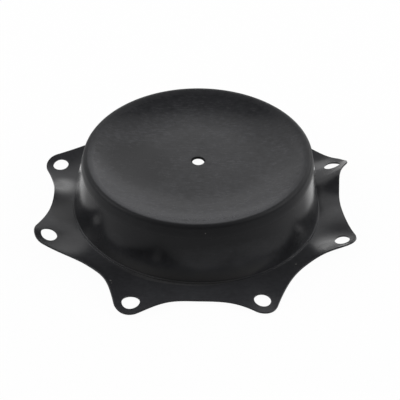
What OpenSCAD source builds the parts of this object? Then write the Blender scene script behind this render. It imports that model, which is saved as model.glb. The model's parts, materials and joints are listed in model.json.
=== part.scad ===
// Top-hat diaphragm for a valve actuator, moulded in rubber as one skin of even thickness.
// The crown is dished to a flat floor, its rim is rounded, and the wall flares to a thin flange.
// The flange is trimmed to a ring of ears with a bolt hole each, and a scallop between each two.
// Origin at the middle of the flange's underside, +Z up through the crown. X and Y point at the
// middle of a scallop.

/* [Skin] */
// Thickness of the rubber
skin_t = 1; // [0.8:0.1:1.5]

/* [Crown] */
// Diameter of the rim's crest, the highest ring of the crown
crest_d = 124.8; // [104:0.2:128]
// Height of the crest above the flange's underside
crest_h = 36.3; // [24:0.1:48]
// Outside radius of the rounded rim
rim_r = 2.6; // [1.8:0.1:4]
// Depth of the dish's flat floor, below the crest
dish_depth = 7.1; // [2:0.1:10]
// Diameter of the flat floor, where the stem's clamp plate sits
floor_d = 60; // [30:1:80]
// Diameter of the stem hole in the middle of the crown
stem_hole_d = 7; // [4:0.5:16]

/* [Wall] */
// Diameter at the foot of the wall, where its outside would meet the top of the flange
foot_d = 139.6; // [134:0.2:148]
// Radius of the wall's gentle bulge between the rim and the foot
wall_r = 280; // [120:5:400]
// Radius of the hollow bend between the wall and the flange
foot_r = 0.5; // [0.3:0.1:2]
// Radius of the fine bead that runs round that bend
bead_r = 0.6; // [0.3:0.1:0.7]

/* [Flange] */
// Number of ears
ears = 8; // [6:1:9]
// Diameter of the bolt circle
bolt_circle_d = 174; // [170:1:190]
// Diameter of a bolt hole
bolt_hole_d = 9; // [6:0.5:11]
// Radius of an ear's round end, about its bolt hole
ear_r = 8.6; // [6.6:0.2:11]
// Depth of a scallop below the straight line across the ends of its two ears
scallop_depth = 7.6; // [3:0.2:10]

/* [Hidden] */
$fn = 144;

// How far a cutter runs past what it cuts
past = 1;

function unit(a) = [cos(a), sin(a)];
function heading(p) = atan2(p.y, p.x);
function reverse(list) = [for (i = [len(list) - 1 : -1 : 0]) list[i]];

// Where two circles meet, on the right-hand side of the way from the first to the second
function meeting(a, r_a, b, r_b) =
    let (way = b - a, gap = norm(way), along = (pow(gap, 2) + pow(r_a, 2) - pow(r_b, 2)) / (2 * gap))
    a + (along * way + sqrt(pow(r_a, 2) - pow(along, 2)) * [way.y, -way.x]) / gap;

// Points along an arc about a centre. The end is left out where the next arc starts at it.
function arc(centre, r, from, to, steps, with_end) =
    [for (i = [0 : with_end ? steps : steps - 1]) centre + r * unit(from + (to - from) * i / steps)];

// The section is worked out as [distance from the axis, height].
// A hollow cove touches the flat floor and the rounded rim, so its radius follows from both.
rim_c = [crest_d / 2, crest_h - rim_r];
cove_w = rim_c.x - floor_d / 2;
cove_r = (pow(cove_w, 2) + pow(dish_depth, 2)) / (2 * dish_depth) - rim_r;
cove_c = [floor_d / 2, crest_h - dish_depth + cove_r];
cove_a = heading(cove_c - rim_c);

// The wall bulges: its outside is a wide arc that touches the rounded rim and passes the foot.
foot = [foot_d / 2, skin_t];
wall_c = meeting(rim_c, wall_r - rim_r, foot, wall_r);
wall_top_a = heading(rim_c - wall_c);

// The bend touches the outside of the wall and the top of the flange.
bend_z = skin_t + foot_r;
bend_c = [wall_c.x + sqrt(pow(wall_r + foot_r, 2) - pow(bend_z - wall_c.y, 2)), bend_z];
wall_foot_a = heading(bend_c - wall_c);

// In plan, a scallop is a circle that touches the round ends of the ears on its two sides.
pitch = 360 / ears;
bolt_c = bolt_circle_d / 2 * unit(pitch / 2);
scallop_r = (pow(scallop_depth, 2) + pow(bolt_c.y, 2)) / (2 * scallop_depth) - ear_r;
scallop_c = [bolt_c.x + ear_r - scallop_depth + scallop_r, 0];
// Heading from an ear's centre to where its round end meets the scallop
flank_a = heading(scallop_c - bolt_c);

// One face of the skin from the axis out past the trim line: floor, cove, rim, wall, bend, flange.
// The depth below the outside is 0 for the top face and the whole thickness for the underside.
function face(depth) = concat(
    [[0, crest_h - dish_depth - depth]],
    arc(cove_c, cove_r + depth, 270, cove_a + 180, 12, false),
    arc(rim_c, rim_r - depth, cove_a, wall_top_a, 12, false),
    arc(wall_c, wall_r - depth, wall_top_a, wall_foot_a, 6, false),
    arc(bend_c, foot_r + depth, wall_foot_a + 180, 270, 6, true),
    [[norm(bolt_c) + ear_r + past, skin_t - depth]]
);

// The whole moulding before it is trimmed: the turned skin, and the bead round its foot
module moulding() {
    rotate_extrude() polygon(concat(face(0), reverse(face(skin_t))));
    rotate_extrude() translate(foot) circle(r = bead_r);
}

// Outline of the flange: the hollow arc of each scallop, then the round end of the ear after it
module trim_line() {
    polygon([for (i = [0 : ears - 1]) each concat(
        arc(norm(scallop_c) * unit(pitch * i), scallop_r,
            pitch * i + 180 - flank_a, pitch * i + 180 + flank_a, 16, false),
        arc(norm(bolt_c) * unit(pitch * (i + 0.5)), ear_r,
            pitch * i + flank_a, pitch * (i + 1) - flank_a, 12, false)
    )]);
}

// A hole straight through the moulding
module drill(d) {
    translate([0, 0, -past]) cylinder(d = d, h = crest_h + 2 * past);
}

module diaphragm() {
    color("#2c2d30")
        difference() {
            intersection() {
                moulding();
                translate([0, 0, -past]) linear_extrude(crest_h + 2 * past) trim_line();
            }
            drill(stem_hole_d);
            for (i = [0 : ears - 1])
                rotate(pitch * (i + 0.5)) translate([norm(bolt_c), 0]) drill(bolt_hole_d);
        }
}

diaphragm();
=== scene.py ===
"""A moulded rubber diaphragm, lying relaxed on a white table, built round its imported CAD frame."""

import json

import bpy
import numpy as np
from bpy.props import FloatProperty, FloatVectorProperty, PointerProperty
from bpy.types import Operator, Panel, PropertyGroup
from mathutils import Matrix, Vector


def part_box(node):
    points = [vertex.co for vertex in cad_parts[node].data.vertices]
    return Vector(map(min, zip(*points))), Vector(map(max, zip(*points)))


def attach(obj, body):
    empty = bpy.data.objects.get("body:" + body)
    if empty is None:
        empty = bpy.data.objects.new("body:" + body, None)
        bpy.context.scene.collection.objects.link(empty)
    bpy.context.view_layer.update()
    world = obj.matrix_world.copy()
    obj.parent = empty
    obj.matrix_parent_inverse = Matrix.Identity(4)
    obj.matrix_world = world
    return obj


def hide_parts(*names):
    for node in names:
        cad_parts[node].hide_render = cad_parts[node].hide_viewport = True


bl_info = {
    "name": "Rubber Diaphragm",
    "version": (1, 0, 0),
    "blender": (4, 5, 0),
    "location": "3D View > Sidebar > Diaphragm",
    "description": "Builds a moulded rubber diaphragm with a wavy eared flange, and its studio",
    "category": "Add Mesh",
}

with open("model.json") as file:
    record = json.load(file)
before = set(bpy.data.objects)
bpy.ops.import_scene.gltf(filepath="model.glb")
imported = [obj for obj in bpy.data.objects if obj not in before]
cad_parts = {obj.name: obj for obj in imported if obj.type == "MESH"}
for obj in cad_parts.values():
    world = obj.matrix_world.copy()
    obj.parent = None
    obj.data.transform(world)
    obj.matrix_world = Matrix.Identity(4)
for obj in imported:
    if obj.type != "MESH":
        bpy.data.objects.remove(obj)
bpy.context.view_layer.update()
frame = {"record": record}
mounts = {mount["name"]: mount for mount in frame["record"]["mounts"]}
lowest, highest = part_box("diaphragm")

MM = 0.001
EARS = 8
PITCH = 2 * np.pi / EARS


def mm(*values):
    """Millimetres as metres."""
    return tuple(value * MM for value in values)


class SkinSizes(PropertyGroup):
    """The moulded form, before it relaxes."""

    skin_t: FloatProperty(
        name="Skin Thickness",
        description="Thickness of the rubber",
        default=1.0 * MM,
        unit="LENGTH",
    )
    crest_d: FloatProperty(
        name="Crest Diameter",
        description="Diameter of the rim's crest, the highest ring of the crown",
        default=124.8 * MM,
        unit="LENGTH",
    )
    crest_h: FloatProperty(
        name="Crest Height",
        description="Height of the crest above the flange's underside",
        default=highest.z - lowest.z,
        unit="LENGTH",
    )
    rim_r: FloatProperty(
        name="Rim Radius",
        description="Outside radius of the rounded rim",
        default=2.6 * MM,
        unit="LENGTH",
    )
    stem_hole_d: FloatProperty(
        name="Stem Hole Diameter",
        description="Diameter of the hole in the middle of the crown",
        default=2 * mounts["stem_hole"]["dims"]["r_mm"] * MM,
        unit="LENGTH",
    )
    dish_depth: FloatProperty(
        name="Dish Depth",
        description="Depth of the dish's flat floor, below the crest",
        default=7.1 * MM,
        unit="LENGTH",
    )
    floor_d: FloatProperty(
        name="Floor Diameter",
        description="Diameter of the flat floor in the middle of the crown",
        default=60 * MM,
        unit="LENGTH",
    )
    foot_d: FloatProperty(
        name="Foot Diameter",
        description="Diameter at the foot of the wall, where its outside would meet the flange",
        default=139.6 * MM,
        unit="LENGTH",
    )
    wall_r: FloatProperty(
        name="Wall Radius",
        description="Radius of the wall's gentle bulge between rim and foot",
        default=280 * MM,
        unit="LENGTH",
    )
    bend_r: FloatProperty(
        name="Bend Radius",
        description="Radius of the hollow bend between the wall and the flange",
        default=1.2 * MM,
        unit="LENGTH",
    )
    bead_h: FloatProperty(
        name="Bead Height",
        description="How far the bead stands proud of the bend",
        default=0.45 * MM,
        unit="LENGTH",
    )
    bead_w: FloatProperty(
        name="Bead Width",
        description="Width of the bead along the section",
        default=1.2 * MM,
        unit="LENGTH",
    )
    bolt_circle_d: FloatProperty(
        name="Bolt Circle Diameter",
        description="Diameter of the circle through the bolt holes",
        default=mounts["flange_bolts"]["dims"]["pcd_mm"] * MM,
        unit="LENGTH",
    )
    bolt_hole_d: FloatProperty(
        name="Bolt Hole Diameter",
        description="Diameter of the hole in each ear",
        default=2 * mounts["flange_bolts"]["dims"]["hole_r_mm"] * MM,
        unit="LENGTH",
    )
    ear_r: FloatProperty(
        name="Ear Radius",
        description="Radius of an ear's round end, about its bolt hole",
        default=8.6 * MM,
        unit="LENGTH",
    )
    scallop_depth: FloatProperty(
        name="Scallop Depth",
        description="Depth of a scallop below the straight line across the ends of its ears",
        default=7.6 * MM,
        unit="LENGTH",
    )
    edge_bevel: FloatProperty(
        name="Edge Bevel",
        description="Width of the soft corner along the trimmed edges",
        default=0.12 * MM,
        unit="LENGTH",
    )


class RelaxedPose(PropertyGroup):
    """How the loose flange and the cup lie. The first ear stands half a pitch round from +X."""

    ear_rise: FloatVectorProperty(
        name="Ear Rise",
        description="Height of the flange's sweep at each ear",
        size=EARS,
        default=mm(5, -0.5, -0.5, 2, 0.5, 9, 4, 7.5),
        unit="LENGTH",
    )
    ear_tilt: FloatVectorProperty(
        name="Ear Tilt",
        description="Slope of each ear along the bolt circle",
        size=EARS,
        default=np.radians((-23, 0, 0, -13.5, -14.5, -0.5, -3.5, -3)).tolist(),
        unit="ROTATION",
    )
    ear_droop: FloatVectorProperty(
        name="Ear Droop",
        description="Extra height of the ear alone, which falls off beside it",
        size=EARS,
        default=mm(-4, 0, 0, -1.5, 1.5, -9.5, -4, -7),
        unit="LENGTH",
    )
    ear_curl: FloatVectorProperty(
        name="Ear Curl",
        description="Upward curve of each ear along its radius",
        size=EARS,
        default=mm(1, 0.5, 0, 0.5, 2, 1.5, -0.5, 3),
        unit="LENGTH",
    )
    ear_slide: FloatVectorProperty(
        name="Ear Slide",
        description="Shift of each bolt hole along the bolt circle",
        size=EARS,
        default=mm(0.5, 0, 0, 0.5, 0.5, 0, -1, -0.5),
        unit="LENGTH",
    )
    ear_pull: FloatVectorProperty(
        name="Ear Pull",
        description="Shift of each bolt hole outward",
        size=EARS,
        default=mm(2.5, 0, 0, -0.5, 2, 5, 1, 0.5),
        unit="LENGTH",
    )
    web_rise: FloatVectorProperty(
        name="Web Rise",
        description="Height of the flange's sweep at the middle of each scallop",
        size=EARS,
        default=mm(3, 7, 0, 5, 0, 3.5, 1.5, 5.5),
        unit="LENGTH",
    )
    web_curl: FloatVectorProperty(
        name="Web Curl",
        description="Upward curve of the flange along its radius at each scallop",
        size=EARS,
        default=mm(-3.5, -3.5, 0, -0.5, 0, 4, 1.5, 1.5),
        unit="LENGTH",
    )
    ear_droop_spread: FloatProperty(
        name="Ear Droop Spread",
        description="Angle round the axis over which an ear's droop falls off",
        default=float(np.radians(11)),
        unit="ROTATION",
    )
    ripple_angle: FloatVectorProperty(
        name="Ripple Angle",
        description="Place of each narrow ripple of the flange, round the axis from +X",
        size=2,
        default=np.radians((176, 12)).tolist(),
        unit="ROTATION",
    )
    ripple_rise: FloatVectorProperty(
        name="Ripple Rise",
        description="Height of each ripple at the bolt circle",
        size=2,
        default=mm(3, 4),
        unit="LENGTH",
    )
    ripple_spread: FloatProperty(
        name="Ripple Spread",
        description="Angle round the axis over which a ripple falls off",
        default=float(np.radians(6)),
        unit="ROTATION",
    )
    crown_oval: FloatProperty(
        name="Crown Oval",
        description="How far the crest ring is out of round, as a share of its radius",
        default=0.033,
        subtype="FACTOR",
    )
    crown_oval_angle: FloatProperty(
        name="Crown Oval Angle",
        description="Direction of the crest ring's long axis",
        default=float(np.radians(64.5)),
        unit="ROTATION",
    )
    rest_lift: FloatProperty(
        name="Rest Lift",
        description="Height by which the relaxed skin is lifted so that its lowest point rests",
        default=0.0,
        unit="LENGTH",
    )


class RubberFinish(PropertyGroup):
    """Colours and textures of the moulded rubber."""

    colour: FloatVectorProperty(
        name="Rubber Colour",
        description="Colour of the clean rubber",
        subtype="COLOR",
        size=3,
        default=(0.012, 0.0122, 0.0136),
    )
    # Besides the real bloom, this colour carries the painted light and shade of the zones
    bloom_colour: FloatVectorProperty(
        name="Bloom Colour",
        description="Colour of the thin grey bloom that mottles the rubber",
        subtype="COLOR",
        size=3,
        default=(0.042, 0.0425, 0.046),
    )
    # Colour of the chips, and of the pale tint at the foot of the wall away from its left and right
    # sides
    dust_colour: FloatVectorProperty(
        name="Dust Colour",
        description="Colour of the specks, of the chips and of the dust at the foot of the wall",
        subtype="COLOR",
        size=3,
        default=(0.18, 0.175, 0.165),
    )
    # Painted shadow: near black on the stem hole's bore and on a crescent of the crown behind the
    # hole
    bore_colour: FloatVectorProperty(
        name="Bore Colour",
        description="Colour of the cut rubber inside the stem hole",
        subtype="COLOR",
        size=3,
        default=(0.001, 0.001, 0.001),
    )
    roughness: FloatProperty(
        name="Roughness",
        description="Mean roughness of the moulded surface",
        default=0.24,
        subtype="FACTOR",
    )
    sheen: FloatProperty(
        name="Sheen",
        description="Specular level of the rubber, which mirrors little when seen square on",
        default=0.12,
        subtype="FACTOR",
    )
    grain_size: FloatProperty(
        name="Grain Size",
        description="Size of the fine grain that the mould leaves",
        default=0.35 * MM,
        unit="LENGTH",
    )
    mottle_size: FloatProperty(
        name="Mottle Size",
        description="Size of the bloom's mottles",
        default=3.5 * MM,
        unit="LENGTH",
    )
    streak_size: FloatProperty(
        name="Streak Size",
        description="Width of the faint wiping streaks, which run along X",
        default=1.2 * MM,
        unit="LENGTH",
    )
    ring_size: FloatProperty(
        name="Ring Size",
        description="Width of the faint rings that the turned mould leaves",
        default=1.0 * MM,
        unit="LENGTH",
    )
    relief_strength: FloatProperty(
        name="Relief Strength",
        description="Share of the grain's relief that the light sees",
        default=0.1,
        subtype="FACTOR",
    )
    relief_depth: FloatProperty(
        name="Relief Depth",
        description="Depth of the grain's relief",
        default=0.1 * MM,
        unit="LENGTH",
    )
    polish_roughness: FloatProperty(
        name="Polish Roughness",
        description="Roughness of the places that handling has polished",
        default=0.2,
        subtype="FACTOR",
    )


class StudioSettings(PropertyGroup):
    """Camera, lamps and table."""

    camera_place: FloatVectorProperty(
        name="Camera Place",
        description="Place of the camera, measured from the middle of the flange's underside",
        subtype="TRANSLATION",
        size=3,
        default=mm(-21.1, -491.2, 387.3),
    )
    camera_heading: FloatProperty(
        name="Camera Heading",
        description="Angle of the view to the right of +Y",
        default=float(np.radians(2.69)),
        unit="ROTATION",
    )
    camera_dip: FloatProperty(
        name="Camera Dip",
        description="Angle of the view below the level",
        default=float(np.radians(38.1)),
        unit="ROTATION",
    )
    camera_roll: FloatProperty(
        name="Camera Roll",
        description="Turn of the camera about its view",
        default=float(np.radians(2.61)),
        unit="ROTATION",
    )
    focal_length: FloatProperty(
        name="Focal Length",
        description="Focal length in millimetres for a sensor 36 mm wide",
        default=98.11,
        unit="CAMERA",
    )
    back_light: FloatProperty(
        name="Back Light",
        description="Power of the wide softbox above and behind the part",
        default=4.0,
        unit="POWER",
    )
    side_light: FloatProperty(
        name="Side Light",
        description="Power of the softbox on each side",
        default=8.0,
        unit="POWER",
    )
    low_light: FloatProperty(
        name="Low Light",
        description="Power of the low softbox behind the part, on the right",
        default=1.5,
        unit="POWER",
    )
    room_light: FloatProperty(
        name="Room Light",
        description="Strength of the even light from the room",
        default=0.2,
    )


# Arrays: arcs, grids and the closed shell


def unit(angle):
    """Unit vectors [cos a, sin a] for an array of angles."""
    return np.stack([np.cos(angle), np.sin(angle)], -1)


def heading(vector):
    """Angle of a plane vector from the first axis."""
    return np.arctan2(vector[..., 1], vector[..., 0])


def arc(centre, radius, start, end, steps):
    """Points centre + radius * unit(a), with a in even steps from start to end."""
    return centre + radius * unit(np.linspace(start, end, steps + 1))


def straight(start, end, steps):
    """Points in even steps along the straight line from start to end."""
    return start + (end - start) * np.linspace(0, 1, steps + 1)[:, None]


def meeting(first, first_r, second, second_r):
    """Where two circles meet, on the right-hand side of the way from the first to the second."""
    way = second - first
    gap = np.hypot(*way)
    along = (gap**2 + first_r**2 - second_r**2) / (2 * gap)
    aside = np.sqrt(first_r**2 - along**2)
    return first + (along * way + aside * np.array([way[1], -way[0]])) / gap


def grid_faces(rows, columns, closed):
    """Quads between neighbouring rows and columns of a grid, where closed joins last to first."""
    index = np.arange(rows * columns).reshape(rows, columns)
    across = np.concatenate([index, index[:, :1]], 1) if closed else index
    corners = across[:-1, :-1], across[1:, :-1], across[1:, 1:], across[:-1, 1:]
    return np.stack([corner.ravel() for corner in corners], -1)


def joined(patches):
    """One (points, faces) pair from several, with each patch's faces counted on from the last."""
    starts = np.cumsum([0] + [len(points) for points, _ in patches[:-1]])
    points = np.concatenate([points for points, _ in patches])
    return points, np.concatenate([faces + start for (_, faces), start in zip(patches, starts)])


def welded(points, faces, reach=1e-7):
    """Points closer than the reach become one, and the faces follow."""
    _, first, place = np.unique(
        np.round(points / reach).astype(np.int64), axis=0, return_index=True, return_inverse=True
    )
    return points[first], place.reshape(-1)[faces]


def closed_shell(outer, inner, faces):
    """Outer sheet, inner sheet turned over, and a band of quads along every free edge."""
    count = len(outer)
    edges = np.concatenate([faces[:, [i, (i + 1) % 4]] for i in range(4)])
    there = edges[:, 0] * count + edges[:, 1]
    back = edges[:, 1] * count + edges[:, 0]
    free = edges[~np.isin(there, back)]
    band = np.stack([free[:, 1], free[:, 0], free[:, 0] + count, free[:, 1] + count], -1)
    return np.concatenate([outer, inner]), np.concatenate([faces, faces[:, ::-1] + count, band])


# The moulded form


def section(size):
    """Section of the cup as [distance from the axis, height], outside and inside.

    The base line runs along the flat floor; the cove, a hollow round that touches floor and rim;
    the rim, a round; the wall, a wide round that touches the rim and aims at the foot; and the
    bend, a hollow round that touches wall and flange. The inside is the base line moved in by the
    thickness. The outside adds the bead, a raised cosine along the bend.
    """
    steps = {"floor": 10, "cove": 18, "rim": 14, "wall": 18, "bend": 20}
    rim_c = np.array([size.crest_d / 2, size.crest_h - size.rim_r])
    foot = np.array([size.foot_d / 2, size.skin_t])
    floor = np.array([size.floor_d / 2, size.crest_h - size.dish_depth])
    cove_w = rim_c[0] - floor[0]
    cove_r = (cove_w**2 + size.dish_depth**2) / (2 * size.dish_depth) - size.rim_r
    cove_c = floor + cove_r * unit(np.pi / 2)
    cove_a = heading(cove_c - rim_c)
    wall_c = meeting(rim_c, size.wall_r - size.rim_r, foot, size.wall_r)
    bend_z = size.skin_t + size.bend_r
    bend_x = wall_c[0] + np.sqrt((size.wall_r + size.bend_r) ** 2 - (bend_z - wall_c[1]) ** 2)
    bend_c = np.array([bend_x, bend_z])
    top_a, foot_a = heading(rim_c - wall_c), heading(bend_c - wall_c)

    hole_edge = np.array([size.stem_hole_d / 2, floor[1]])
    flat = straight(hole_edge, floor, steps["floor"])
    cove = arc(cove_c, cove_r, -np.pi / 2, cove_a - np.pi, steps["cove"])
    rim = arc(rim_c, size.rim_r, cove_a, top_a, steps["rim"])
    wall = arc(wall_c, size.wall_r, top_a, foot_a, steps["wall"])
    bend = arc(bend_c, size.bend_r, foot_a + np.pi, 1.5 * np.pi, steps["bend"])
    base = np.concatenate([flat[:-1], cove[:-1], rim[:-1], wall[:-1], bend])
    outward = np.concatenate(
        [
            np.broadcast_to(unit(np.pi / 2), (steps["floor"], 2)),
            (cove_c - cove[:-1]) / cove_r,
            (rim[:-1] - rim_c) / size.rim_r,
            (wall[:-1] - wall_c) / size.wall_r,
            (bend_c - bend) / size.bend_r,
        ]
    )
    run = np.append(0, np.cumsum(np.hypot(*np.diff(base, axis=0).T)))
    middle = (run[-1 - steps["bend"]] + run[-1]) / 2
    across = np.clip((run - middle) / size.bead_w, -0.5, 0.5)
    bead = size.bead_h * np.cos(np.pi * across) ** 2
    return base + bead[:, None] * outward, base - size.skin_t * outward


def turned(line, columns):
    """The section line turned about the axis: [r cos a, r sin a, z] for each row and angle a."""
    angle = PITCH * EARS * np.arange(columns) / columns
    ring = line[:, :1, None] * unit(angle)[None]
    height = np.broadcast_to(line[:, 1, None, None], (len(line), columns, 1))
    return np.concatenate([ring, height], -1).reshape(-1, 3)


class TrimLine:
    """Plan of one scallop and its two half ears, about the +X line through the scallop's middle."""

    def __init__(self, size):
        self.ear_r = size.ear_r
        self.ear_c = size.bolt_circle_d / 2 * unit(np.array(PITCH / 2))
        depth, half = size.scallop_depth, self.ear_c[1]
        self.scallop_r = (depth**2 + half**2) / (2 * depth) - size.ear_r
        self.scallop_x = self.ear_c[0] + size.ear_r - depth + self.scallop_r
        self.flank_a = heading(np.array([self.scallop_x, 0]) - self.ear_c)

    def scallop(self, angle):
        """Points of the scallop's circle in the directions given by the angles from +X."""
        reach = np.sqrt(self.scallop_r**2 - (self.scallop_x * np.sin(angle)) ** 2)
        return (self.scallop_x * np.cos(angle) - reach)[:, None] * unit(angle)

    def ear_half(self, start, scallop_steps, ear_steps):
        """From the scallop at the start angle, along its circle, then round the ear to its tip."""
        touch = self.ear_c + self.ear_r * unit(self.flank_a)
        flank = self.scallop(np.linspace(start, heading(touch), scallop_steps + 1))
        tip = arc(self.ear_c, self.ear_r, self.flank_a, PITCH / 2, ear_steps)
        return np.concatenate([flank[:-1], tip])


def flange_plan(size, inner_r, columns):
    """Plan of the flange as quads, from the ring at inner_r to the trim line.

    Between the ears it is a strip of radial lines from the ring to the scallop. Round each bolt
    hole it is a patch whose points run straight from the hole to the patch's border, which is the
    ring, two radial sides and the ear's outline. The columns are those of the cup for one ear.
    """
    half_patch = columns // 5
    side_rows, hole_rows = 10, 10
    scallop_steps, ear_steps = 10, 9
    step = PITCH / columns
    trim = TrimLine(size)

    strip_a = step * (np.arange(columns - 2 * half_patch + 1) - columns / 2 + half_patch)
    near = inner_r * unit(strip_a)
    far = trim.scallop(strip_a)
    share = np.linspace(0, 1, side_rows + 1)[:, None, None]
    strip = (near + (far - near) * share).reshape(-1, 2)
    strip_faces = grid_faces(side_rows + 1, len(strip_a), False)

    edge_a = PITCH / 2 - step * half_patch
    outline = trim.ear_half(edge_a, scallop_steps, ear_steps)
    side = straight(inner_r * unit(np.array(edge_a)), outline[0], side_rows)
    ring = inner_r * unit(np.linspace(PITCH / 2, edge_a, half_patch + 1))
    half_border = np.concatenate([ring[:-1], side[:-1], outline])
    across = unit(np.array(PITCH / 2))
    mirrored = 2 * (half_border @ across)[:, None] * across - half_border
    border = np.concatenate([half_border, mirrored[-2:0:-1]])
    centre = size.bolt_circle_d / 2 * across
    hole = centre + size.bolt_hole_d / 2 * unit(heading(border - centre))
    spread = np.linspace(0, 1, hole_rows + 1)[:, None, None]
    patch = (hole + (border - hole) * spread).reshape(-1, 2)
    patch_faces = grid_faces(hole_rows + 1, len(border), True)

    cell, cell_faces = joined([(strip, strip_faces), (patch, patch_faces)])
    turn = PITCH * np.arange(EARS)
    spin = np.stack([unit(turn), unit(turn + np.pi / 2)], 1)
    plan = np.einsum("pi,kij->kpj", cell, spin).reshape(-1, 2)
    counted = (cell_faces + len(cell) * np.arange(EARS)[:, None, None]).reshape(-1, 4)
    return plan, counted


def moulded_skin(size, columns=36):
    """The whole moulding as one closed shell, with this number of columns for each ear.

    The cup is its section turned about the axis, outside and inside, and the flange is its plan
    at the height where the section ends, top and underside.
    """
    outside, inside = section(size)
    cup = np.concatenate([turned(outside, columns * EARS), turned(inside, columns * EARS)], 1)
    cup_faces = grid_faces(len(outside), columns * EARS, True)
    plan, plan_faces = flange_plan(size, outside[-1, 0], columns)
    top, bottom = (np.insert(plan, 2, line[-1, 1], 1) for line in (outside, inside))
    flange = np.concatenate([top, bottom], 1)
    sheet, faces = welded(*joined([(cup, cup_faces), (flange, plan_faces)]))
    return closed_shell(sheet[:, :3], sheet[:, 3:], faces)


# The relaxed form


def round_curve(angle, values, slopes):
    """Closed cubic curve round the axis through evenly spaced values with the given slopes."""
    place = np.mod(angle, 2 * np.pi) / (2 * np.pi) * len(values)
    first = np.floor(place).astype(int) % len(values)
    after = (first + 1) % len(values)
    t = place - np.floor(place)
    return (
        (1 + 2 * t) * (1 - t) ** 2 * values[first]
        + t * (1 - t) ** 2 * slopes[first]
        + t**2 * (3 - 2 * t) * values[after]
        + t**2 * (t - 1) * slopes[after]
    )


def waves(angle, web, ear, ear_slope=None):
    """Curve through the webs' and ears' values in turn, with even slopes or the ears' own."""
    values = np.stack([web, ear], 1).ravel()
    slopes = (np.roll(values, -1) - np.roll(values, 1)) / 2
    if ear_slope is not None:
        slopes[1::2] = ear_slope
    return round_curve(angle, values, slopes)


class Relaxed:
    """The relaxed form as a change of place that is worked out for any array of points."""

    def __init__(self, size, pose):
        self.size = size
        self.pose = pose
        self.foot_r = size.foot_d / 2
        self.reach = size.bolt_circle_d / 2 - self.foot_r
        self.ear_angles = PITCH * (np.arange(EARS) + 0.5)

    def apart(self, angle, places):
        """Angle from each of the places round the axis, for every point and place."""
        return np.angle(np.exp(1j * (angle[:, None] - np.array(places))))

    def share(self, radius):
        """0 up to the foot and 1 at the bolt circle, with a soft start.

        It is hypot(p, s) - s over hypot(1, s) - s, where p grows evenly along the radius.
        """
        soft = 0.04
        plain = np.maximum((radius - self.foot_r) / self.reach, 0)
        return (np.hypot(plain, soft) - soft) / (np.hypot(1, soft) - soft)

    def height(self, radius, angle):
        """Height of the flange: share * sweep, and the curl adds share * (share - 1) * curl.

        The sweep is the wave through webs and ears, plus a bell curve for each droop and ripple.
        """
        pose = self.pose
        web_to_ear = PITCH / 2 * self.size.bolt_circle_d / 2
        slope = np.tan(np.array(pose.ear_tilt)) * web_to_ear
        from_ear = self.apart(angle, self.ear_angles) / pose.ear_droop_spread
        from_ripple = self.apart(angle, pose.ripple_angle) / pose.ripple_spread
        sweep = waves(angle, np.array(pose.web_rise), np.array(pose.ear_rise), slope)
        sweep = sweep + np.exp(-(from_ear**2)) @ np.array(pose.ear_droop)
        sweep = sweep + np.exp(-(from_ripple**2)) @ np.array(pose.ripple_rise)
        curl = waves(angle, np.array(pose.web_curl), np.array(pose.ear_curl))
        share = self.share(radius)
        return share * sweep + share * (share - 1) * curl

    def __call__(self, points):
        """New places of the points.

        Each ear slides and is pulled in plan by a share that fades beside it. The flange follows
        the height, its points keep their distance from its underside, and a rise of s draws it in
        by s * s / 2. The cup goes out of round in step with the height above the foot.
        """
        pose, size = self.pose, self.size
        most_share, most_drawn = 1.4, 0.4
        radius = np.hypot(points[:, 0], points[:, 1])
        angle = heading(points[:, :2])
        gap = self.apart(angle, self.ear_angles)
        fade = np.where(np.abs(gap) < PITCH, np.cos(np.pi / 2 * gap / PITCH) ** 2, 0)
        fade = fade * np.minimum(self.share(radius), most_share)[:, None]
        angle = angle + fade @ np.array(pose.ear_slide) / (size.bolt_circle_d / 2)
        radius = radius + fade @ np.array(pose.ear_pull)

        nudge = 0.02 * MM
        on_flange = self.share(radius) > 0
        height = self.height(radius, angle)
        rise_out = (self.height(radius + nudge, angle) - height) / nudge * on_flange
        rise_round = (self.height(radius, angle + nudge / radius) - height) / nudge * on_flange
        out = unit(angle)
        around = unit(angle + np.pi / 2)
        shorter = 1 - np.minimum(rise_out**2, most_drawn) / 2
        plan_r = np.minimum(radius, self.foot_r) + np.maximum(radius - self.foot_r, 0) * shorter

        up = points[:, 2] / size.crest_h
        oval = 1 + up * pose.crown_oval * np.cos(2 * (angle - pose.crown_oval_angle))
        offset = points[:, 2] / np.sqrt(1 + rise_out**2 + rise_round**2)
        tilted = rise_out[:, None] * out + rise_round[:, None] * around
        plan = (plan_r * oval)[:, None] * out - offset[:, None] * tilted
        return np.concatenate([plan, (height * (1 - up) + offset)[:, None]], 1)


# Materials


class Signal:
    """A number that varies over the surface. Arithmetic on it adds Math nodes."""

    def __init__(self, nodes, socket):
        self.nodes = nodes
        self.socket = socket

    def maths(self, operation, *values):
        """The result of a Math node of this operation on the values."""
        return self.nodes.add("ShaderNodeMath", {"operation": operation}, *values).signal()

    def __add__(self, other):
        return self.maths("ADD", self, other)

    def __radd__(self, other):
        return self.maths("ADD", other, self)

    def __sub__(self, other):
        return self.maths("SUBTRACT", self, other)

    def __rsub__(self, other):
        return self.maths("SUBTRACT", other, self)

    def __mul__(self, other):
        return self.maths("MULTIPLY", self, other)

    def __rmul__(self, other):
        return self.maths("MULTIPLY", other, self)

    def __truediv__(self, other):
        return self.maths("DIVIDE", self, other)

    def __abs__(self):
        return self.maths("ABSOLUTE", self)

    def above(self, low, high):
        """0 below low, 1 above high and a smooth step between."""
        settings = {"interpolation_type": "SMOOTHSTEP"}
        values = {"Value": self, "From Min": low, "From Max": high}
        return self.nodes.add("ShaderNodeMapRange", settings, **values).signal()

    def beyond(self, low, high):
        """The same step, for a length and limits in millimetres."""
        return self.above(low * MM, high * MM)


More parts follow.
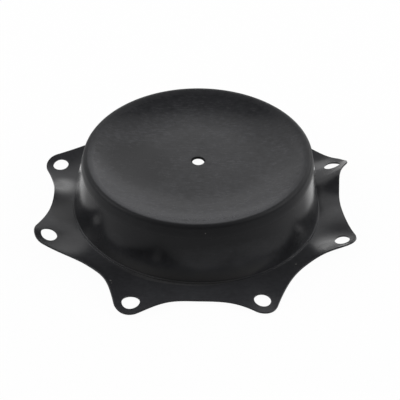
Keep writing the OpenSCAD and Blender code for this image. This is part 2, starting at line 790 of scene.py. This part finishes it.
class Node:
    """A node that was added, with its outputs by name."""

    def __init__(self, nodes, node):
        self.nodes = nodes
        self.node = node

    def out(self, name):
        """An output socket."""
        return self.node.outputs[name]

    def signal(self, name=0):
        """An output socket as a number to work with."""
        return Signal(self.nodes, self.node.outputs[name])


class Nodes:
    """The node tree of one material, world or lamp."""

    def __init__(self, tree):
        self.tree = tree
        tree.nodes.clear()

    def feed(self, socket, value):
        """Links an output to the socket, or sets the socket to a plain value."""
        value = getattr(value, "socket", value)
        if isinstance(value, bpy.types.NodeSocket):
            self.tree.links.new(value, socket)
        else:
            socket.default_value = value

    def add(self, kind, settings=None, *values, **named):
        """A node of this kind: its settings first, then its sockets by order or by name."""
        node = self.tree.nodes.new(kind)
        for key, value in (settings or {}).items():
            setattr(node, key, value)
        for key, value in [*enumerate(values), *named.items()]:
            self.feed(node.inputs[key], value)
        return Node(self, node)

    def vector(self, operation, *values):
        """A vector maths node."""
        return self.add("ShaderNodeVectorMath", {"operation": operation}, *values)

    def noise(self, place, size, detail, roughness=0.5):
        """Noise whose features have this size, as a number about 0."""
        values = {"Vector": place, "Scale": 1 / size, "Detail": detail, "Roughness": roughness}
        return self.add("ShaderNodeTexNoise", None, **values).signal("Fac") - 0.5

    def near(self, place, centre, inner, outer):
        """1 within the inner distance of a point and 0 beyond the outer, in millimetres."""
        gap = self.vector("DISTANCE", place, mm(*centre))
        return 1 - gap.signal("Value").beyond(inner, outer)

    def mix(self, share, first, second):
        """A colour between two colours, from the colour sockets of a mix node."""
        node = self.add("ShaderNodeMix", {"data_type": "RGBA"}).node
        for socket, value in zip((0, 6, 7), (share, first, second)):
            self.feed(node.inputs[socket], value)
        return node.outputs[2]


def new_material(name):
    """An empty node material and its nodes."""
    material = bpy.data.materials.new(name)
    material.use_nodes = True
    return material, Nodes(material.node_tree)


# Marks on the skin as it lies, in millimetres: place, and reach
CHIPS = (
    ((2.4, -66.4, 33.0), 0.33),
    ((52.3, -55.1, 3.3), 0.6),
    ((-45.9, -71.4, 4.5), 0.7),
    ((-45.4, -73.4, 4.3), 0.5),
)

# Places that handling has polished, in millimetres: place, reach, and how polished
POLISHED = (
    ((-77, 11.5, 3), 11, 0.8),
    ((-69, -36, 2), 16, 0.2),
    ((76, -40, 5), 16, 1.0),
    ((79, -14, 4), 12, 0.2),
    ((74, 42, 3), 13, 0.7),
)

# How thickly the grey bloom lies on the whole, and the painted light and shade that zones of the
# skin add to it as more or less bloom
BLOOM_MEAN = 0.36
# Wall: a painted reflection lightens the low front; painted shade darkens the top band, the sides
# and a patch at the front left
WALL_PAINTED_SHADING = {"low_front": 1.05, "wall_shade_patch": -0.45, "high": -0.7, "flanks": -0.4}
# Crown: a painted highlight on the front slope of the dish; painted shade on its back slope, in a
# patch left of the middle and round the stem hole
CROWN_PAINTED_SHADING = {"front_slope": 0.6, "back_slope": -0.1, "crown_shade_patch": -0.55, "bore_shadow": -1.2}
# Flange: painted light over the whole, and painted shade in a patch on the left beside its ripple
FLANGE_PAINTED_SHADING = {"low": 0.3, "flange_shade_patch": -1.0}

# What the pale tint at the foot of the wall, away from its left and right sides, and the roughness
# gain in zones of the skin
FOOT_PALING = {"foot": 0.1, "wall_foot": 0.12}
ROUGHER = {"lip": 0.25, "bore_shadow": 0.7}

# How strongly each noise shows in the bloom, the roughness and the relief
BLOOM_NOISE = {"mottle": 1.6, "streak": 1.4, "cloud": 0.8}
ROUGH_NOISE = {"mottle": 0.25, "streak": 0.3, "cloud": 0.15}
RELIEF_NOISE = {"grain": 0.7, "mottle": 0.3, "rings": 0.25}

# How much of the noises shows on the wall and the flange, where the crown shows all of it
CALM = 0.35


def blend(signals, shares):
    """Sum of the named signals, each times its share."""
    return sum(share * signals[name] for name, share in shares.items())


def skin_zones(nodes, place, pose):
    """The distance from the axis, with the crown's oval evened out, and the zones of the skin.

    Each zone is a number that is 1 inside it, 0 outside it and a smooth step between. The limits
    are in millimetres, measured on the skin as it lies.
    """
    axes = nodes.add("ShaderNodeSeparateXYZ", None, place)
    right, forth, height = (axes.signal(name) for name in "XYZ")
    oval = {
        "Rotation": (0, 0, pose.crown_oval_angle),
        "Scale": (1 + pose.crown_oval, 1 - pose.crown_oval, 1),
    }
    evened = nodes.add("ShaderNodeMapping", {"vector_type": "TEXTURE"}, place, **oval)
    plan = nodes.vector("MULTIPLY", evened.out("Vector"), (1, 1, 0))
    radius = nodes.vector("LENGTH", plan.out("Vector")).signal("Value")

    outside = radius.beyond(62, 63.6)
    wall = outside * height.beyond(2.5, 4) * (1 - radius.beyond(70.5, 72.5))
    high = height.beyond(18, 33)
    low = 1 - height.beyond(6, 20)
    front = right.beyond(-58, -26) * (1 - right.beyond(26, 54))
    foot = front * outside * (1 - radius.beyond(70, 70.4)) * (1 - height.beyond(4, 12))
    lip = radius.beyond(58, 61.5) * height.beyond(29, 33)
    slope = radius.beyond(38, 58)
    sideways = (abs(right + 2 * MM) / radius).above(0.86, 0.97)
    zones = {
        "wall": wall,
        "crown": high * (1 - wall),
        "high": high,
        "low": low,
        "low_front": low * front,
        "flanks": 1 - front,
        "foot": foot,
        "wall_foot": foot * wall,
        "lip": lip,
        "front_slope": slope * (1 - (forth + 0.35 * right).beyond(-45, -5)),
        "back_slope": slope * forth.beyond(15, 40),
        "wall_edges": sideways * wall * height.beyond(7, 14) * (1 - lip),
        # Painted shadow: the bore of the stem hole and a crescent behind it
        "bore_shadow": nodes.near(place, (0, 0.5, 29), 3.9, 4.2),
        # Painted shade: a darker patch on the front left of the wall
        "wall_shade_patch": nodes.near(place, (-26, -63, 17), 6, 22),
        # Painted shade: a darker patch on the crown, left of the middle
        "crown_shade_patch": nodes.near(place, (-34, -4, 29), 10, 26),
        # Painted shade: a darker patch on the left of the flange
        "flange_shade_patch": nodes.near(place, (-73, -11, 3), 5, 14),
    }
    return radius, zones


def skin_noises(nodes, finish, place, radius):
    """The noises that the rubber's colour, roughness and relief share, each about 0.

    The streaks are drawn out along X, and the rings vary only with the distance from the axis.
    """
    drawn = nodes.vector("MULTIPLY", place, (0.3, 1, 1)).out("Vector")
    along_radius = nodes.add("ShaderNodeCombineXYZ", None, radius).out("Vector")
    return {
        "grain": nodes.noise(place, finish.grain_size, 3.0, 0.6),
        "mottle": nodes.noise(place, finish.mottle_size, 6.0, 0.7),
        "cloud": nodes.noise(place, 7 * finish.mottle_size, 2.0),
        "streak": nodes.noise(drawn, finish.streak_size, 4.0, 0.6),
        "rings": nodes.noise(along_radius, finish.ring_size, 2.0),
    }


def moulded_rubber(finish, pose):
    """Black moulded rubber.

    It has a grain and faint rings from the mould, a mottled grey bloom, painted light and shade in
    zones as thicker or thinner bloom, a painted shadow at the stem hole, wiping streaks, polished
    places, a few chips, and a roughness that varies.
    """
    material, nodes = new_material("moulded_rubber")
    place = nodes.add("ShaderNodeTexCoord").out("Object")
    radius, zones = skin_zones(nodes, place, pose)
    noises = skin_noises(nodes, finish, place, radius)
    wall = zones["wall"]
    shown = CALM + (1 - CALM) * zones["crown"]

    # Painted light and shade: the zones' gains thicken or thin the bloom, off the wall and on the
    # wall
    off_wall = blend(zones, CROWN_PAINTED_SHADING) * zones["high"] + blend(zones, FLANGE_PAINTED_SHADING)
    level = BLOOM_MEAN + off_wall * (1 - wall) + blend(zones, WALL_PAINTED_SHADING) * wall
    uneven = blend(noises, BLOOM_NOISE) * (shown - (1 - CALM) * zones["back_slope"])
    dust_colour = (*finish.dust_colour, 1)
    colour = nodes.mix(level + uneven, (*finish.colour, 1), (*finish.bloom_colour, 1))
    colour = nodes.mix(blend(zones, FOOT_PALING), colour, dust_colour)
    # Painted shadow: near black at the stem hole
    colour = nodes.mix(zones["bore_shadow"], colour, (*finish.bore_colour, 1))
    for centre, reach in CHIPS:
        colour = nodes.mix(nodes.near(place, centre, 0.5 * reach, reach), colour, dust_colour)
    polish = zones["wall_edges"]
    for centre, reach, strength in POLISHED:
        polish = polish + strength * nodes.near(place, centre, 0.3 * reach, reach)

    rough = finish.roughness + blend(zones, ROUGHER) + shown * blend(noises, ROUGH_NOISE)
    depth = {"Strength": finish.relief_strength, "Distance": finish.relief_depth}
    bump = nodes.add("ShaderNodeBump", None, Height=blend(noises, RELIEF_NOISE), **depth)
    shader = nodes.add(
        "ShaderNodeBsdfPrincipled",
        None,
        **{
            "Base Color": colour,
            "Roughness": rough,
            "Specular IOR Level": finish.sheen,
            "Coat Weight": polish,
            "Coat Roughness": finish.polish_roughness,
            "Normal": bump.out("Normal"),
        },
    )
    nodes.add("ShaderNodeOutputMaterial", None, Surface=shader.out("BSDF"))
    return material


def white_table():
    """Pale table that camera and mirror rays see almost white, with the part's shadow kept."""
    material, nodes = new_material("white_table")
    own_white = 0.97
    ray = nodes.add("ShaderNodeLightPath")
    kinds = ("Is Camera Ray", "Is Glossy Ray", "Is Transmission Ray")
    seen = sum(ray.signal(kind) for kind in kinds)
    lit = nodes.add("ShaderNodeBsdfDiffuse", None, Color=(0.8, 0.8, 0.8, 1))
    white = nodes.add("ShaderNodeEmission", None, Color=(1, 1, 1, 1), Strength=1.0)
    shown = nodes.add(
        "ShaderNodeMixShader", None, own_white * seen, lit.out("BSDF"), white.out("Emission")
    )
    nodes.add("ShaderNodeOutputMaterial", None, Surface=shown.out("Shader"))
    return material


# Meshes and lamps in the scene


def piece_from(name, points, faces, material):
    """A smooth-shaded mesh object at the origin, from arrays of points and quads."""
    mesh = bpy.data.meshes.new(name)
    mesh.from_pydata(points.tolist(), [], faces.tolist())
    mesh.polygons.foreach_set("use_smooth", np.ones(len(faces), bool))
    mesh.materials.append(material)
    mesh.update()
    piece = bpy.data.objects.new(name, mesh)
    bpy.context.scene.collection.objects.link(piece)
    return piece


def aimed_lamp(name, place, target, width, height, power):
    """A soft rectangular lamp that faces a point."""
    lamp = bpy.data.lights.new(name, "AREA")
    lamp.shape = "RECTANGLE"
    lamp.size = width
    lamp.size_y = height
    lamp.energy = power
    holder = bpy.data.objects.new(name, lamp)
    turn = (Vector(target) - Vector(place)).to_track_quat("-Z", "Y")
    holder.matrix_world = Matrix.LocRotScale(Vector(place), turn, None)
    bpy.context.scene.collection.objects.link(holder)


# Softboxes, in metres: name, place, width, height, and the setting that holds the power
SOFTBOXES = (
    ("back_softbox", (0, 0.94, 0.77), 1.6, 0.8, "back_light"),
    ("left_softbox", (-0.95, 0.1, 0.7), 0.7, 0.7, "side_light"),
    ("right_softbox", (0.95, 0.1, 0.7), 0.7, 0.7, "side_light"),
    ("low_softbox", (0.62, 0.92, 0.3), 0.7, 0.3, "low_light"),
)


# Operators, one for the skin and one for the stage


class DIAPHRAGM_OT_skin(Operator):
    """Builds the relaxed rubber skin in the place of its CAD node."""

    bl_idname = "diaphragm.skin"
    bl_label = "Rubber Skin"

    def execute(self, context):
        size = context.scene.diaphragm_sizes
        pose = context.scene.diaphragm_pose
        points, faces = moulded_skin(size)
        points = Relaxed(size, pose)(points)
        pose.rest_lift = -points[:, 2].min()
        points[:, 2] += pose.rest_lift
        rubber = moulded_rubber(context.scene.diaphragm_finish, pose)
        skin = piece_from("relaxed_skin", points, faces, rubber)
        bevel = skin.modifiers.new("Trimmed edge", "BEVEL")
        bevel.width = size.edge_bevel
        bevel.segments = 2
        bevel.limit_method = "ANGLE"
        bevel.angle_limit = float(np.radians(55))
        bevel.harden_normals = True
        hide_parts("diaphragm")
        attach(skin, "root")
        return {"FINISHED"}


class DIAPHRAGM_OT_stage(Operator):
    """Sets the table, the lamps, the room's light and the camera."""

    bl_idname = "diaphragm.stage"
    bl_label = "Studio Stage"

    def execute(self, context):
        studio = context.scene.diaphragm_studio
        lift = context.scene.diaphragm_pose.rest_lift
        self.set_table()
        middle = mm(0, 0, 20)
        for name, place, width, height, setting in SOFTBOXES:
            aimed_lamp(name, place, middle, width, height, getattr(studio, setting))
        self.set_room(studio)
        self.set_camera(studio, lift)
        context.scene.view_settings.view_transform = "Standard"
        return {"FINISHED"}

    def set_table(self):
        """A sweep: the table runs level, curves up behind the part and stands upright."""
        front, back, bend, top, half_width = -3.0, 1.0, 0.5, 2.2, 2.5
        steps = 24
        curve = arc(np.array([back, bend]), bend, -np.pi / 2, 0, steps)
        line = np.concatenate([[[front, 0]], curve, [[back + bend, top]]])
        across = np.linspace(-half_width, half_width, 3)
        shape = (len(line), len(across))
        columns = (across, line[:, :1], line[:, 1:])
        grid = np.stack([np.broadcast_to(column, shape) for column in columns], -1)
        faces = grid_faces(*shape, False)
        table = piece_from("table_sweep", grid.reshape(-1, 3), faces[:, ::-1], white_table())

    def set_room(self, studio):
        """Even grey light from all round."""
        world = bpy.data.worlds.new("room")
        world.use_nodes = True
        nodes = Nodes(world.node_tree)
        white = (1, 1, 1, 1)
        room = nodes.add("ShaderNodeBackground", None, Color=white, Strength=studio.room_light)
        nodes.add("ShaderNodeOutputWorld", None, Surface=room.out("Background"))
        bpy.context.scene.world = world

    def set_camera(self, studio, lift):
        """Camera that looks along its heading and dip, with its roll, lifted like the skin."""
        camera = bpy.data.cameras.new("photo_camera")
        camera.lens = studio.focal_length
        camera.sensor_width = 36
        camera.clip_start = 0.01
        holder = bpy.data.objects.new("photo_camera", camera)
        turn = (
            Matrix.Rotation(-studio.camera_heading, 4, "Z")
            @ Matrix.Rotation(np.pi / 2 - studio.camera_dip, 4, "X")
            @ Matrix.Rotation(studio.camera_roll, 4, "Z")
        )
        place = Vector(studio.camera_place) + Vector((0, 0, lift))
        holder.matrix_world = Matrix.Translation(place) @ turn
        bpy.context.scene.collection.objects.link(holder)
        bpy.context.scene.camera = holder


class VIEW3D_PT_diaphragm(Panel):
    """Lists the operators and their sizes."""

    bl_label = "Diaphragm"
    bl_space_type = "VIEW_3D"
    bl_region_type = "UI"
    bl_category = "Diaphragm"

    def draw(self, context):
        scene = context.scene
        skin_groups = (scene.diaphragm_sizes, scene.diaphragm_pose, scene.diaphragm_finish)
        for operator, groups in (
            (DIAPHRAGM_OT_skin, skin_groups),
            (DIAPHRAGM_OT_stage, (scene.diaphragm_studio,)),
        ):
            self.layout.operator(operator.bl_idname)
            for group in groups:
                for name in group.__annotations__:
                    self.layout.prop(group, name)


GROUPS = {
    "diaphragm_sizes": SkinSizes,
    "diaphragm_pose": RelaxedPose,
    "diaphragm_finish": RubberFinish,
    "diaphragm_studio": StudioSettings,
}
CLASSES = (*GROUPS.values(), DIAPHRAGM_OT_skin, DIAPHRAGM_OT_stage, VIEW3D_PT_diaphragm)


def register():
    """Registers the classes and gives the scene its groups of settings."""
    for group in CLASSES:
        bpy.utils.register_class(group)
    for name, group in GROUPS.items():
        setattr(bpy.types.Scene, name, PointerProperty(type=group))


def unregister():
    """Takes the groups of settings and the classes away again."""
    for name in GROUPS:
        delattr(bpy.types.Scene, name)
    for group in reversed(CLASSES):
        bpy.utils.unregister_class(group)


def main():
    register()
    bpy.ops.diaphragm.skin()
    bpy.ops.diaphragm.stage()


if __name__ == "__main__":
    main()
